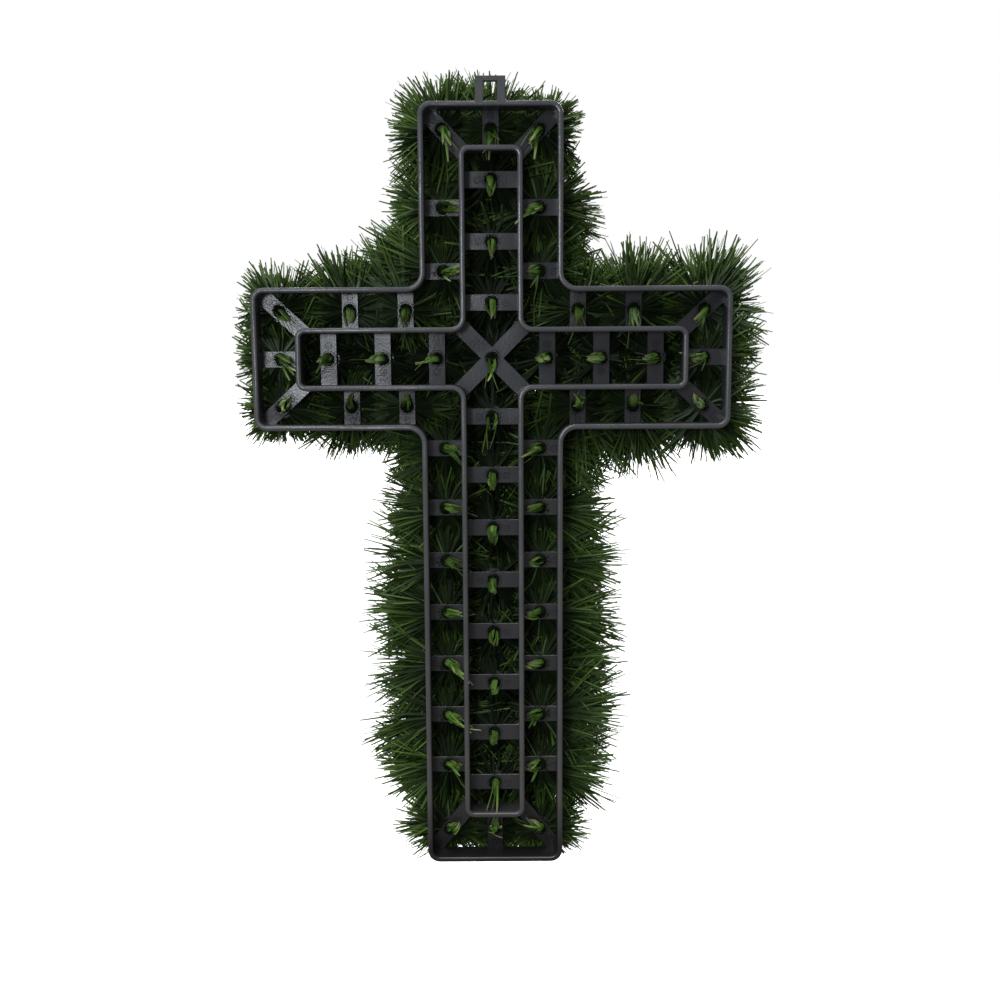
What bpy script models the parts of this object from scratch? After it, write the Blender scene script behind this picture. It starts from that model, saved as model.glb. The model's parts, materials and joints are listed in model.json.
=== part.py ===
"""A hanging grave cross of artificial pine.

A moulded plastic frame, open at the back, carries two rows of straps between its walls. Every strap has a
hole, and a tuft of needles is pushed through each hole from the front. Its folded tail shows at the back.

Metres, +Z up. -Y is the open back of the frame and +Y is the needle side. The origin is where a hook
carries the cross: the underside of the bar that closes the hanging eye.
"""

import math
import random

import bmesh
import bpy

# Outer wall of the frame, measured over its outer faces from the middle of the crossing
BAND_WIDTH = 0.106
ARM_REACH = 0.1785
HEAD_REACH = 0.1853
FOOT_REACH = 0.3947
FRAME_DEPTH = 0.021
WALL = 0.004
TIP_RADIUS = 0.0095
ARMPIT_RADIUS = 0.0105

# Inner wall: its clear distance from the outer wall, beside the bands and at their ends
SIDE_TRACK = 0.0256
HEAD_TRACK = 0.0270
ARM_TRACK = 0.0281
FOOT_TRACK = 0.0326
INNER_TIP_RADIUS = 0.0075
INNER_ARMPIT_RADIUS = 0.0070

# Straps that bridge the walls, and the holes in them
STRAP_WIDTH = 0.0125
STRAP_THICKNESS = 0.0022
STRAP_SETBACK = 0.0003
STRAP_ROOT = 0.0018
CORNER_INSET = 0.0004
HOLE_RADIUS = 0.0041
HOLE_SIDES = 10
ARC_STEPS = 4

# Hanging eye on top of the frame
EYE_WIDTH = 0.0220
EYE_HEIGHT = 0.0170
EYE_THICKNESS = 0.0050
EYE_BAR = 0.0036
EYE_LEG = 0.0060
EYE_ROOT = 0.0020

# Needle tufts
NEEDLE_LENGTH = 0.0530
NEEDLE_SWEEP = 0.0680
SWEEP_SIDES = 24
INNER_NEEDLE_ROWS = 8
OUTER_NEEDLE_ROWS = 12
SHORT_NEEDLE = 0.80
CROWN_SHARE = 0.66
TUFT_CLEARANCE = 0.0007
TUFT_GAP = 0.0008
FACE_CLEARANCE = 0.0005
TAIL_LENGTH = 0.0100
TAIL_WIDTH = 0.0050
TAIL_RISE = 0.0080
TAIL_START = 0.0020
SKIRT_HEIGHT = 0.0110

# How far the needles stand out past each side of the frame, at even steps along the side: outwards from
# the crossing on the long sides, to the right or upwards on the ends
OVERHANG = {
    "head_top": (0.0240, 0.0300, 0.0070),
    "head_left": (0.0600, 0.0250, 0.0300),
    "head_right": (0.0360, 0.0340, 0.0130),
    "left_arm_top": (0.0520, 0.0300, 0.0180),
    "left_arm_bottom": (0.0330, 0.0220, 0.0150),
    "left_arm_end": (0.0160, 0.0210, 0.0180),
    "right_arm_top": (0.0260, 0.0400, 0.0420),
    "right_arm_bottom": (0.0480, 0.0450, 0.0270),
    "right_arm_end": (0.0360, 0.0320, 0.0370),
    "shaft_left": (0.0310, 0.0430, 0.0610, 0.0490, 0.0270),
    "shaft_right": (0.0420, 0.0500, 0.0580, 0.0530, 0.0170),
    "shaft_bottom": (0.0090, 0.0090),
}

BLACK_PLASTIC = (0.035, 0.036, 0.040, 1.0)
PINE_GREEN = (0.030, 0.075, 0.016, 1.0)

# Worked out from the sizes above
CENTRE_Z = -(HEAD_REACH + EYE_HEIGHT - EYE_BAR)
BACK_Y = -EYE_THICKNESS / 2
HALF_BAND = BAND_WIDTH / 2
INNER_HALF_BAND = HALF_BAND - WALL - SIDE_TRACK
INNER_HEAD = HEAD_REACH - WALL - HEAD_TRACK
INNER_ARM = ARM_REACH - WALL - ARM_TRACK
INNER_FOOT = FOOT_REACH - WALL - FOOT_TRACK
SIDE_LINE = HALF_BAND - WALL - SIDE_TRACK / 2
STRAP_FRONT = FRAME_DEPTH - STRAP_SETBACK
STRAP_BACK = STRAP_FRONT - STRAP_THICKNESS


class Limb:
    """One of the cross's four limbs: where its straps sit, measured outwards from the crossing.

    middle lists the straps of the inner row, side those of the rows beside it.
    """

    def __init__(self, name, outward, sides, reach, track, middle, side):
        self.name = name
        self.outward = outward
        self.sides = sides
        self.reach = reach
        self.end_line = reach - WALL - track / 2
        self.inner_end = reach - WALL - track
        self.middle = middle
        self.side = side

    def at(self, along, across=0.0):
        """The point that far out along the limb and that far to its left, seen from the crossing."""
        ox, oz = self.outward
        return (ox * along - oz * across, oz * along + ox * across)


def spaced(first, last, count):
    """count distances from first to last, evenly."""
    return [first + (last - first) * k / (count - 1) for k in range(count)]


def inner_end(reach, track):
    """Distance to the inside face of a limb's inner end wall."""
    return reach - WALL - track - WALL


# First strap of each row from the crossing, and the last one's distance from the inner end wall
CROSSING_STRAP = 0.0418
CROSSING_SIDE_STRAP = 0.0650
SHAFT_CROSSING_STRAP = 0.0442
SHAFT_CROSSING_SIDE_STRAP = 0.0683
SHAFT_SECOND_STRAP = 0.0890
SHAFT_SECOND_SIDE_STRAP = 0.1143
LAST_STRAP_GAP = 0.0184
HEAD_LAST_SIDE_GAP = 0.0388
ARM_LAST_SIDE_GAP = 0.0354
FOOT_LAST_SIDE_GAP = 0.0332

HEAD_END = inner_end(HEAD_REACH, HEAD_TRACK)
ARM_END = inner_end(ARM_REACH, ARM_TRACK)
FOOT_END = inner_end(FOOT_REACH, FOOT_TRACK)

HEAD = Limb(
    "head", (0, 1), ("left", "right"), HEAD_REACH, HEAD_TRACK,
    middle=spaced(CROSSING_STRAP, HEAD_END - LAST_STRAP_GAP, 3),
    side=spaced(CROSSING_SIDE_STRAP, HEAD_END - HEAD_LAST_SIDE_GAP, 2),
)
LEFT_ARM = Limb(
    "left_arm", (-1, 0), ("bottom", "top"), ARM_REACH, ARM_TRACK,
    middle=spaced(CROSSING_STRAP, ARM_END - LAST_STRAP_GAP, 3),
    side=spaced(CROSSING_SIDE_STRAP, ARM_END - ARM_LAST_SIDE_GAP, 2),
)
RIGHT_ARM = Limb(
    "right_arm", (1, 0), ("top", "bottom"), ARM_REACH, ARM_TRACK,
    middle=spaced(CROSSING_STRAP, ARM_END - LAST_STRAP_GAP, 3),
    side=spaced(CROSSING_SIDE_STRAP, ARM_END - ARM_LAST_SIDE_GAP, 2),
)
SHAFT = Limb(
    "shaft", (0, -1), ("right", "left"), FOOT_REACH, FOOT_TRACK,
    middle=[SHAFT_CROSSING_STRAP] + spaced(SHAFT_SECOND_STRAP, FOOT_END - LAST_STRAP_GAP, 7),
    side=[SHAFT_CROSSING_SIDE_STRAP]
    + spaced(SHAFT_SECOND_SIDE_STRAP, FOOT_END - FOOT_LAST_SIDE_GAP, 6),
)
LIMBS = (HEAD, LEFT_ARM, RIGHT_ARM, SHAFT)

class Side:
    """A straight side of the frame's outline: its outward direction and how far out it lies.

    It runs along another direction from first to last, both measured from the crossing.
    """

    def __init__(self, outward, distance, along, first, last):
        self.outward = outward
        self.distance = distance
        self.along = along
        self.first = first
        self.last = last

    def share(self, point):
        """How far along the side a point lies, from 0 to 1."""
        run = point[0] * self.along[0] + point[1] * self.along[1]
        return min(max((run - self.first) / (self.last - self.first), 0.0), 1.0)


def long_side(outward, along, reach):
    return Side(outward, HALF_BAND, along, HALF_BAND, reach)


def end_side(outward, along, reach):
    return Side(outward, reach, along, -HALF_BAND, HALF_BAND)


OUTLINE_SIDES = {
    "head_top": end_side((0, 1), (1, 0), HEAD_REACH),
    "head_left": long_side((-1, 0), (0, 1), HEAD_REACH),
    "head_right": long_side((1, 0), (0, 1), HEAD_REACH),
    "left_arm_top": long_side((0, 1), (-1, 0), ARM_REACH),
    "left_arm_bottom": long_side((0, -1), (-1, 0), ARM_REACH),
    "left_arm_end": end_side((-1, 0), (0, 1), ARM_REACH),
    "right_arm_top": long_side((0, 1), (1, 0), ARM_REACH),
    "right_arm_bottom": long_side((0, -1), (1, 0), ARM_REACH),
    "right_arm_end": end_side((1, 0), (0, 1), ARM_REACH),
    "shaft_left": long_side((-1, 0), (0, -1), FOOT_REACH),
    "shaft_right": long_side((1, 0), (0, -1), FOOT_REACH),
    "shaft_bottom": end_side((0, -1), (1, 0), FOOT_REACH),
}
END_SIDES = {
    "head": "head_top",
    "left_arm": "left_arm_end",
    "right_arm": "right_arm_end",
    "shaft": "shaft_bottom",
}


class Station:
    """A strap's hole with the tuft that fills it, and the strap's two ends."""

    def __init__(self, name, hole, start, end, sides, tail):
        self.name = name
        self.hole = hole
        self.start = start
        self.end = end
        self.sides = sides
        self.tail = tail
        self.needle_rows = OUTER_NEEDLE_ROWS if sides else INNER_NEEDLE_ROWS


def stations():
    """Every strap with a hole, from the crossing outwards. The crossing's own hole comes first."""
    found = [Station("tuft_crossing", (0, 0), None, None, (), (0, -1))]
    inner_root = INNER_HALF_BAND - WALL + STRAP_ROOT
    outer_root = HALF_BAND - WALL + STRAP_ROOT
    near_root = INNER_HALF_BAND - STRAP_ROOT
    corner_root = CORNER_INSET + STRAP_WIDTH / 2 * math.sqrt(0.5)
    for limb in LIMBS:
        middle_tail = (0, -1) if limb.outward[0] == 0 else (-1, 0)
        for k, along in enumerate(limb.middle, 1):
            found.append(Station(
                f"tuft_{limb.name}_middle_{k}", limb.at(along), limb.at(along, -inner_root),
                limb.at(along, inner_root), (), middle_tail,
            ))
        for sign, side in ((1, limb.sides[0]), (-1, limb.sides[1])):
            inward = limb.at(0, -sign)
            for k, along in enumerate(limb.side, 1):
                found.append(Station(
                    f"tuft_{limb.name}_{side}_{k}", limb.at(along, sign * SIDE_LINE),
                    limb.at(along, sign * near_root), limb.at(along, sign * outer_root),
                    (f"{limb.name}_{side}",), inward,
                ))
        tip_side = END_SIDES[limb.name]
        far_root = limb.end_line * 2 - limb.inner_end + STRAP_ROOT
        found.append(Station(
            f"tuft_{limb.name}_end", limb.at(limb.end_line), limb.at(limb.inner_end - STRAP_ROOT),
            limb.at(far_root), (tip_side,), limb.at(-1),
        ))
        for sign, side in ((1, limb.sides[0]), (-1, limb.sides[1])):
            found.append(Station(
                f"tuft_{limb.name}_corner_{side}", limb.at(limb.end_line, sign * SIDE_LINE),
                limb.at(limb.inner_end - corner_root, sign * (INNER_HALF_BAND - corner_root)),
                limb.at(limb.reach - corner_root, sign * (HALF_BAND - corner_root)),
                (f"{limb.name}_{side}", tip_side), limb.at(-1, -sign),
            ))
    return found


def corner_arc(corner, before, after, radius):
    """Points that round a square corner, from the side that comes in to the side that leaves."""
    x, z = corner
    into = ((before[0] > x) - (before[0] < x), (before[1] > z) - (before[1] < z))
    out = ((after[0] > x) - (after[0] < x), (after[1] > z) - (after[1] < z))
    centre = (x + radius * (into[0] + out[0]), z + radius * (into[1] + out[1]))
    points = []
    for k in range(ARC_STEPS + 1):
        turn = math.pi / 2 * k / ARC_STEPS
        c, s = math.cos(turn), math.sin(turn)
        points.append((
            centre[0] - radius * (out[0] * c + into[0] * s),
            centre[1] - radius * (out[1] * c + into[1] * s),
        ))
    return points


def cross_outline(half_band, head, arm, foot, tip_radius, armpit_radius):
    """The outline of a cross round the crossing, with rounded tips and armpits, counterclockwise."""
    h = half_band
    corners = [
        ((arm, -h), tip_radius), ((arm, h), tip_radius), ((h, h), armpit_radius),
        ((h, head), tip_radius), ((-h, head), tip_radius), ((-h, h), armpit_radius),
        ((-arm, h), tip_radius), ((-arm, -h), tip_radius), ((-h, -h), armpit_radius),
        ((-h, -foot), tip_radius), ((h, -foot), tip_radius), ((h, -h), armpit_radius),
    ]
    points = []
    for k, (corner, radius) in enumerate(corners):
        before, after = corners[k - 1][0], corners[(k + 1) % len(corners)][0]
        points += corner_arc(corner, before, after, radius)
    return points


def circle(centre, radius, sides):
    return [
        (
            centre[0] + radius * math.cos(2 * math.pi * k / sides),
            centre[1] + radius * math.sin(2 * math.pi * k / sides),
        )
        for k in range(sides)
    ]


def bar_outline(start, end, width):
    """A straight bar's four corners in plan."""
    length = math.dist(start, end)
    ux, uz = (end[0] - start[0]) / length, (end[1] - start[1]) / length
    nx, nz = -uz * width / 2, ux * width / 2
    return [
        (start[0] + nx, start[1] + nz), (start[0] - nx, start[1] - nz),
        (end[0] - nx, end[1] - nz), (end[0] + nx, end[1] + nz),
    ]


def star_outline(half_length, width):
    """Two equal bars crossed at 45 degrees, as one outline round the crossing."""
    h = width / 2
    straight = [
        (half_length, -h), (half_length, h), (h, h), (h, half_length), (-h, half_length), (-h, h),
        (-half_length, h), (-half_length, -h), (-h, -h), (-h, -half_length), (h, -half_length), (h, -h),
    ]
    c = math.sqrt(0.5)
    return [(c * (x - z), c * (x + z)) for x, z in straight]


def plate(name, loops, back, front, collection):
    """A flat plate between two depths whose outline and holes are given as loops round the crossing."""
    curve = bpy.data.curves.new("outline", "CURVE")
    curve.dimensions = "2D"
    curve.fill_mode = "BOTH"
    curve.extrude = (front - back) / 2
    for loop in loops:
        spline = curve.splines.new("POLY")
        spline.points.add(len(loop) - 1)
        for point, (x, z) in zip(spline.points, loop):
            point.co = (x, z, 0, 1)
        spline.use_cyclic_u = True
    flat = bpy.data.objects.new("outline", curve)
    flat.rotation_euler = (math.pi / 2, 0, 0)
    flat.location = (0, BACK_Y + (back + front) / 2, CENTRE_Z)
    collection.objects.link(flat)
    bpy.context.view_layer.update()
    mesh = bpy.data.meshes.new_from_object(flat.evaluated_get(bpy.context.evaluated_depsgraph_get()))
    solid = bpy.data.objects.new(name, mesh)
    solid.matrix_world = flat.matrix_world
    bpy.data.objects.remove(flat)
    collection.objects.link(solid)
    shape = bmesh.new()
    shape.from_mesh(mesh)
    bmesh.ops.remove_doubles(shape, verts=shape.verts, dist=1e-6)
    bmesh.ops.recalc_face_normals(shape, faces=shape.faces)
    shape.to_mesh(mesh)
    shape.free()
    return solid


def wall(name, half_band, head, arm, foot, tip_radius, armpit_radius, collection):
    """A wall of even thickness that follows the cross outline, as deep as the frame."""
    outside = cross_outline(half_band, head, arm, foot, tip_radius, armpit_radius)
    inside = cross_outline(
        half_band - WALL, head - WALL, arm - WALL, foot - WALL, tip_radius - WALL, armpit_radius + WALL
    )
    return plate(name, [outside, inside], 0, FRAME_DEPTH, collection)


def eye_plate(collection):
    """The upright plate with the slot that a hook goes through."""
    foot, top = HEAD_REACH - EYE_ROOT, HEAD_REACH + EYE_HEIGHT
    half, slot = EYE_WIDTH / 2, EYE_WIDTH / 2 - EYE_LEG
    outline = [(-half, foot), (half, foot), (half, top), (-half, top)]
    low, high = HEAD_REACH - EYE_ROOT / 2, top - EYE_BAR
    hole = [(-slot, low), (slot, low), (slot, high), (-slot, high)]
    return plate("eye_plate", [outline, hole], 0, EYE_THICKNESS, collection)


def build_frame(places, collection, helpers, material):
    """The outer wall, joined with the inner wall, the straps and the eye into one moulding."""
    frame = wall("frame", HALF_BAND, HEAD_REACH, ARM_REACH, FOOT_REACH, TIP_RADIUS, ARMPIT_RADIUS, collection)
    wall(
        "inner_wall", INNER_HALF_BAND, INNER_HEAD, INNER_ARM, INNER_FOOT,
        INNER_TIP_RADIUS, INNER_ARMPIT_RADIUS, helpers,
    )
    armpit_middle = INNER_HALF_BAND + INNER_ARMPIT_RADIUS * (1 - math.sqrt(0.5))
    star_reach = armpit_middle * math.sqrt(2) - STRAP_ROOT / 2
    for place in places:
        if place.start is None:
            outline = star_outline(star_reach, STRAP_WIDTH)
        else:
            outline = bar_outline(place.start, place.end, STRAP_WIDTH)
        hole = circle(place.hole, HOLE_RADIUS, HOLE_SIDES)
        plate("strap_" + place.name[5:], [outline, hole], STRAP_BACK, STRAP_FRONT, helpers)
    eye_plate(helpers)
    joined = frame.modifiers.new("joined", "BOOLEAN")
    joined.operation = "UNION"
    joined.operand_type = "COLLECTION"
    joined.collection = helpers
    joined.solver = "EXACT"
    frame.data.materials.append(material)
    return frame


def clipped(outline, direction, limit):
    """The part of a convex outline that lies no further than limit along a direction."""
    kept = []
    for before, here in zip(outline[-1:] + outline[:-1], outline):
        past_before = before[0] * direction[0] + before[1] * direction[1] - limit
        past_here = here[0] * direction[0] + here[1] * direction[1] - limit
        if (past_before > 0) != (past_here > 0):
            share = past_before / (past_before - past_here)
            kept.append((
                before[0] + (here[0] - before[0]) * share,
                before[1] + (here[1] - before[1]) * share,
            ))
        if past_here <= 0:
            kept.append(here)
    return kept


def overhang(name, share):
    """How far the needles stand out past a side, at a share of its length."""
    values = OVERHANG[name]
    step = share * (len(values) - 1)
    before = min(int(step), len(values) - 2)
    return values[before] + (values[before + 1] - values[before]) * (step - before)


def ground(place, places):
    """The outline round its hole that a tuft may fill: up to its neighbours' and past the frame's sides."""
    outline = circle((0, 0), NEEDLE_SWEEP, SWEEP_SIDES)
    for other in places:
        away = (other.hole[0] - place.hole[0], other.hole[1] - place.hole[1])
        apart = math.hypot(*away)
        if apart > 0:
            outline = clipped(outline, (away[0] / apart, away[1] / apart), (apart - TUFT_GAP) / 2)
    for name in place.sides:
        side = OUTLINE_SIDES[name]
        so_far = place.hole[0] * side.outward[0] + place.hole[1] * side.outward[1]
        reach = side.distance + overhang(name, side.share(place.hole))
        outline = clipped(outline, side.outward, reach - so_far)
    return outline


def along_outline(outline, count, first):
    """count points evenly spaced along a closed outline, the first a share of a step from its start."""
    closed = outline + outline[:1]
    lengths = [math.dist(a, b) for a, b in zip(closed, closed[1:])]
    step = sum(lengths) / count
    points = []
    for k in range(count):
        left = (k + first) * step
        for a, b, length in zip(closed, closed[1:], lengths):
            if left <= length:
                points.append((a[0] + (b[0] - a[0]) * left / length, a[1] + (b[1] - a[1]) * left / length))
                break
            left -= length
    return points


def tuft_rings(place, places, chance):
    """The tuft's cross-sections from the hole to its crown, as (x, height, z) rings round its hole."""
    stem = HOLE_RADIUS * math.cos(math.pi / HOLE_SIDES) - TUFT_CLEARANCE
    neck_back, neck_front, skirt, crown = [], [], [], []
    for k, point in enumerate(along_outline(ground(place, places), place.needle_rows, chance.random())):
        reach = math.hypot(*point)
        way = (point[0] / reach, point[1] / reach)
        low = reach * chance.uniform(0.94, 1.0)
        high = reach * CROWN_SHARE * chance.uniform(0.9, 1.0)
        rise = SKIRT_HEIGHT * chance.uniform(0.8, 1.2)
        top = NEEDLE_LENGTH * chance.uniform(0.80, 0.92)
        if k % 2:
            low *= SHORT_NEEDLE
            rise *= 1.5
        else:
            high *= SHORT_NEEDLE
            top *= SHORT_NEEDLE
        neck_back.append((way[0] * stem, STRAP_BACK - TAIL_START, way[1] * stem))
        neck_front.append((way[0] * stem, FRAME_DEPTH + FACE_CLEARANCE, way[1] * stem))
        skirt.append((way[0] * low, FRAME_DEPTH + rise, way[1] * low))
        crown.append((way[0] * high, FRAME_DEPTH + top, way[1] * high))
    return [neck_back, neck_front, skirt, crown]


def tail_fold(place):
    """The two ends of the fold at the tip of the tail, bent over behind the strap."""
    size = math.hypot(*place.tail)
    ux, uz = place.tail[0] / size, place.tail[1] / size
    y = STRAP_BACK - TAIL_RISE
    half = TAIL_WIDTH / 2
    return [
        (ux * TAIL_LENGTH - uz * half, y, uz * TAIL_LENGTH + ux * half),
        (ux * TAIL_LENGTH + uz * half, y, uz * TAIL_LENGTH - ux * half),
    ]


def build_tuft(place, places, collection, material, chance):
    """One tuft: its folded tail behind the strap, the neck in the hole and the spread head in front."""
    rings = tuft_rings(place, places, chance)
    tip = (
        chance.uniform(-0.2, 0.2) * HOLE_RADIUS,
        FRAME_DEPTH + NEEDLE_LENGTH * chance.uniform(0.95, 1.0),
        chance.uniform(-0.2, 0.2) * HOLE_RADIUS,
    )
    fold = tail_fold(place)
    shape = bmesh.new()
    loops = [[shape.verts.new(point) for point in ring] for ring in rings]
    fold_verts = [shape.verts.new(point) for point in fold]
    tip_vert = shape.verts.new(tip)
    nearest = [0 if math.dist(p, fold[0]) < math.dist(p, fold[1]) else 1 for p in rings[0]]
    count = len(loops[0])
    for k in range(count):
        after = (k + 1) % count
        shape.faces.new((fold_verts[nearest[k]], loops[0][k], loops[0][after]))
        if nearest[k] != nearest[after]:
            shape.faces.new((fold_verts[nearest[k]], loops[0][after], fold_verts[nearest[after]]))
        shape.faces.new((tip_vert, loops[-1][after], loops[-1][k]))
        for low, high in zip(loops, loops[1:]):
            if k % 2:
                shape.faces.new((low[k], high[k], high[after]))
                shape.faces.new((low[k], high[after], low[after]))
            else:
                shape.faces.new((low[k], high[k], low[after]))
                shape.faces.new((low[after], high[k], high[after]))
    bmesh.ops.recalc_face_normals(shape, faces=shape.faces)
    mesh = bpy.data.meshes.new(place.name)
    shape.to_mesh(mesh)
    shape.free()
    tuft = bpy.data.objects.new(place.name, mesh)
    tuft.location = (place.hole[0], BACK_Y, CENTRE_Z + place.hole[1])
    tuft.data.materials.append(material)
    collection.objects.link(tuft)
    return tuft


def finish(name, colour, roughness):
    material = bpy.data.materials.new(name)
    material.use_nodes = True
    surface = material.node_tree.nodes["Principled BSDF"]
    surface.inputs["Base Color"].default_value = colour
    surface.inputs["Roughness"].default_value = roughness
    surface.inputs["Metallic"].default_value = 0.0
    return material


def clear_scene():
    for obj in list(bpy.data.objects):
        bpy.data.objects.remove(obj)


def new_collection(name):
    collection = bpy.data.collections.new(name)
    bpy.context.scene.collection.children.link(collection)
    return collection


def main():
    clear_scene()
    cross = new_collection("pine_cross")
    helpers = new_collection("frame_members")
    helpers.hide_render = True
    black = finish("black_plastic", BLACK_PLASTIC, 0.45)
    green = finish("pine_needles", PINE_GREEN, 0.55)
    places = stations()
    build_frame(places, cross, helpers, black)
    for member in helpers.objects:
        member.hide_render = True
        member.display_type = "WIRE"
    chance = random.Random(56)
    for place in places:
        build_tuft(place, places, cross, green, chance)


main()
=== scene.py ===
# %% [markdown]
# A hanging grave cross, seen from its open back. The real thing is one black plastic moulding with needle
# tufts pushed through holes in its straps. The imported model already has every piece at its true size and
# place. This script rebuilds each piece finely on top of it and gives it its finish.

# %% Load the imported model
import math
import random
import time

import bmesh
import bpy
from mathutils import Matrix, Vector
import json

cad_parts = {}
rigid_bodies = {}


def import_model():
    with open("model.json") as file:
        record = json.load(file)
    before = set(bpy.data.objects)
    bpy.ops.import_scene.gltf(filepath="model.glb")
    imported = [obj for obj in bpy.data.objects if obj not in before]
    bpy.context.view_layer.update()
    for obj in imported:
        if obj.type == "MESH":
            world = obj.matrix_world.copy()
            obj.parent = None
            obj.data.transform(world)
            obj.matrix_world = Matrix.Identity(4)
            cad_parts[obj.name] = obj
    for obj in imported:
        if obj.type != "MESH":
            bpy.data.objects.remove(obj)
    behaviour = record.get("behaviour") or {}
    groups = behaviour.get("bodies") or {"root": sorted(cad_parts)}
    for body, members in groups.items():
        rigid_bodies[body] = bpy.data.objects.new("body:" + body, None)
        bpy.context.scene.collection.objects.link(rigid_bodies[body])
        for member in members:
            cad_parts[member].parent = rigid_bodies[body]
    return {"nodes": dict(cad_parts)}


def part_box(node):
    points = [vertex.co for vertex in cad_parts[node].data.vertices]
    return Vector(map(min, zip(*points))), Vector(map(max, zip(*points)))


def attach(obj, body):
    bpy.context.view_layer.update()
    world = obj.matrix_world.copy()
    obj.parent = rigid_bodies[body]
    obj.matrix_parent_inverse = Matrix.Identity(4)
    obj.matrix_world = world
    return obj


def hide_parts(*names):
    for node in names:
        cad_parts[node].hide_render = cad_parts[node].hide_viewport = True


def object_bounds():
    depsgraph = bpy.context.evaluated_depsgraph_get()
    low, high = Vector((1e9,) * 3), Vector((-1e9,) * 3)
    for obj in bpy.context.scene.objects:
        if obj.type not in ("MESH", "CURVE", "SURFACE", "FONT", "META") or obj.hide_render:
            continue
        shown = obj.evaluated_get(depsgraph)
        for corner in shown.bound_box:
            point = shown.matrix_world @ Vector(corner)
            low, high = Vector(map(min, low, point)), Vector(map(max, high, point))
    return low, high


started = time.time()
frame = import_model()
packed_low, packed_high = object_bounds()
print("packed model:", len(frame["nodes"]), "nodes from", packed_low[:], "to", packed_high[:])

# %% [markdown]
# The camera stands where the photographer stood: about 0.87 m behind the cross, level with the crossing and
# tipped down a little. A camera could be aimed by eye, but one worked out from the frame's corners puts
# every strap where it should be. Its three axes go straight into its matrix.

# %% Camera
CAMERA_PLACE = Vector((0.0063, -0.8697, -0.1842))
CAMERA_LENS = 41.72
CAMERA_SENSOR = 36
CAMERA_NEAREST = 0.01
CAMERA_PITCH = math.radians(7.91)
CAMERA_YAW = math.radians(-0.06)
CAMERA_ROLL = math.radians(-0.34)


def aim(camera, place, pitch, yaw, roll):
    """Look along +Y, turned by yaw, tipped down by pitch and rolled about the line of sight."""
    ahead = Vector((math.sin(yaw) * math.cos(pitch), math.cos(yaw) * math.cos(pitch), -math.sin(pitch)))
    right = ahead.cross(Vector((0, 0, 1))).normalized()
    up = right.cross(ahead)
    level = right * math.cos(roll) + up * math.sin(roll)
    upright = up * math.cos(roll) - right * math.sin(roll)
    turn = Matrix((level, upright, -ahead)).transposed().to_4x4()
    camera.matrix_world = Matrix.Translation(place) @ turn


camera = bpy.data.objects.new("camera", bpy.data.cameras.new("camera"))
camera.data.lens = CAMERA_LENS
camera.data.sensor_width = CAMERA_SENSOR
camera.data.clip_start = CAMERA_NEAREST
bpy.context.scene.collection.objects.link(camera)
bpy.context.scene.camera = camera
aim(camera, CAMERA_PLACE, CAMERA_PITCH, CAMERA_YAW, CAMERA_ROLL)
print("camera at", CAMERA_PLACE[:])

# %% [markdown]
# The photograph is lit softly from above, a little from the left and from the camera's side, and its
# hollows are nearly black. A sun lamp with a wide disc does that evenly over the whole floor, and a second
# one from beyond the cross lights the tops of the needles and their far side. A small lamp behind the
# camera's left shoulder is mirrored in the left arm's straps, where the photograph has its sheen, and a dim
# room fills the rest. The room is brighter for the camera than for the surfaces, so the background stays
# white.

# %% Light
ROOM_LIGHT = 0.26
ROOM_SEEN = 1.0
SUN_LIGHT = 2.9
SUN_FROM = Vector((-0.40, -0.52, 1.0))
FAR_SUN_LIGHT = 3.8
FAR_SUN_FROM = Vector((0.25, 0.85, 0.70))
SUN_SPREAD = math.radians(50)
SHEEN_LIGHT = 4.2
SHEEN_SIZE = 0.22
SHEEN_COLOUR = (0.90, 0.95, 1.0)
SHEEN_PLACE = Vector((-0.37, -1.30, -0.06))
SHEEN_TOWARDS = Vector((0, 0, CAMERA_PLACE.z))
WHITE = (1, 1, 1, 1)

scene = bpy.context.scene
scene.view_settings.view_transform = "Standard"
world = bpy.data.worlds.new("white_room")
world.use_nodes = True
room_tree = world.node_tree
seen = room_tree.nodes["Background"]
seen.inputs["Color"].default_value = WHITE
seen.inputs["Strength"].default_value = ROOM_SEEN
lit = room_tree.nodes.new("ShaderNodeBackground")
lit.inputs["Color"].default_value = WHITE
lit.inputs["Strength"].default_value = ROOM_LIGHT
either = room_tree.nodes.new("ShaderNodeMixShader")
ray = room_tree.nodes.new("ShaderNodeLightPath")
room_tree.links.new(ray.outputs["Is Camera Ray"], either.inputs["Fac"])
room_tree.links.new(lit.outputs[0], either.inputs[1])
room_tree.links.new(seen.outputs[0], either.inputs[2])
room_tree.links.new(either.outputs[0], room_tree.nodes["World Output"].inputs["Surface"])
scene.world = world

for name, strength, place in (("sun", SUN_LIGHT, SUN_FROM), ("far_sun", FAR_SUN_LIGHT, FAR_SUN_FROM)):
    sun = bpy.data.objects.new(name, bpy.data.lights.new(name, "SUN"))
    sun.data.energy = strength
    sun.data.angle = SUN_SPREAD
    sun.rotation_euler = place.to_track_quat("Z", "Y").to_euler()
    scene.collection.objects.link(sun)
sheen = bpy.data.objects.new("sheen", bpy.data.lights.new("sheen", "AREA"))
sheen.data.energy = SHEEN_LIGHT
sheen.data.size = SHEEN_SIZE
sheen.data.color = SHEEN_COLOUR
sheen.location = SHEEN_PLACE
sheen.rotation_euler = (SHEEN_PLACE - SHEEN_TOWARDS).to_track_quat("Z", "Y").to_euler()
scene.collection.objects.link(sheen)
print("sun from", SUN_FROM[:], "sheen at", SHEEN_PLACE[:], "room at", ROOM_LIGHT)

# %% [markdown]
# The floor lies well below the hanging cross. It is pale, and wide enough to reach the horizon from any
# side. Light that it throws back would fill the hollows of the frame from below, which the photograph
# doesn't show, so bounced rays don't see it.

# %% Floor
FLOOR_BELOW = 0.90
FLOOR_SIZE = 60.0

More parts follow.
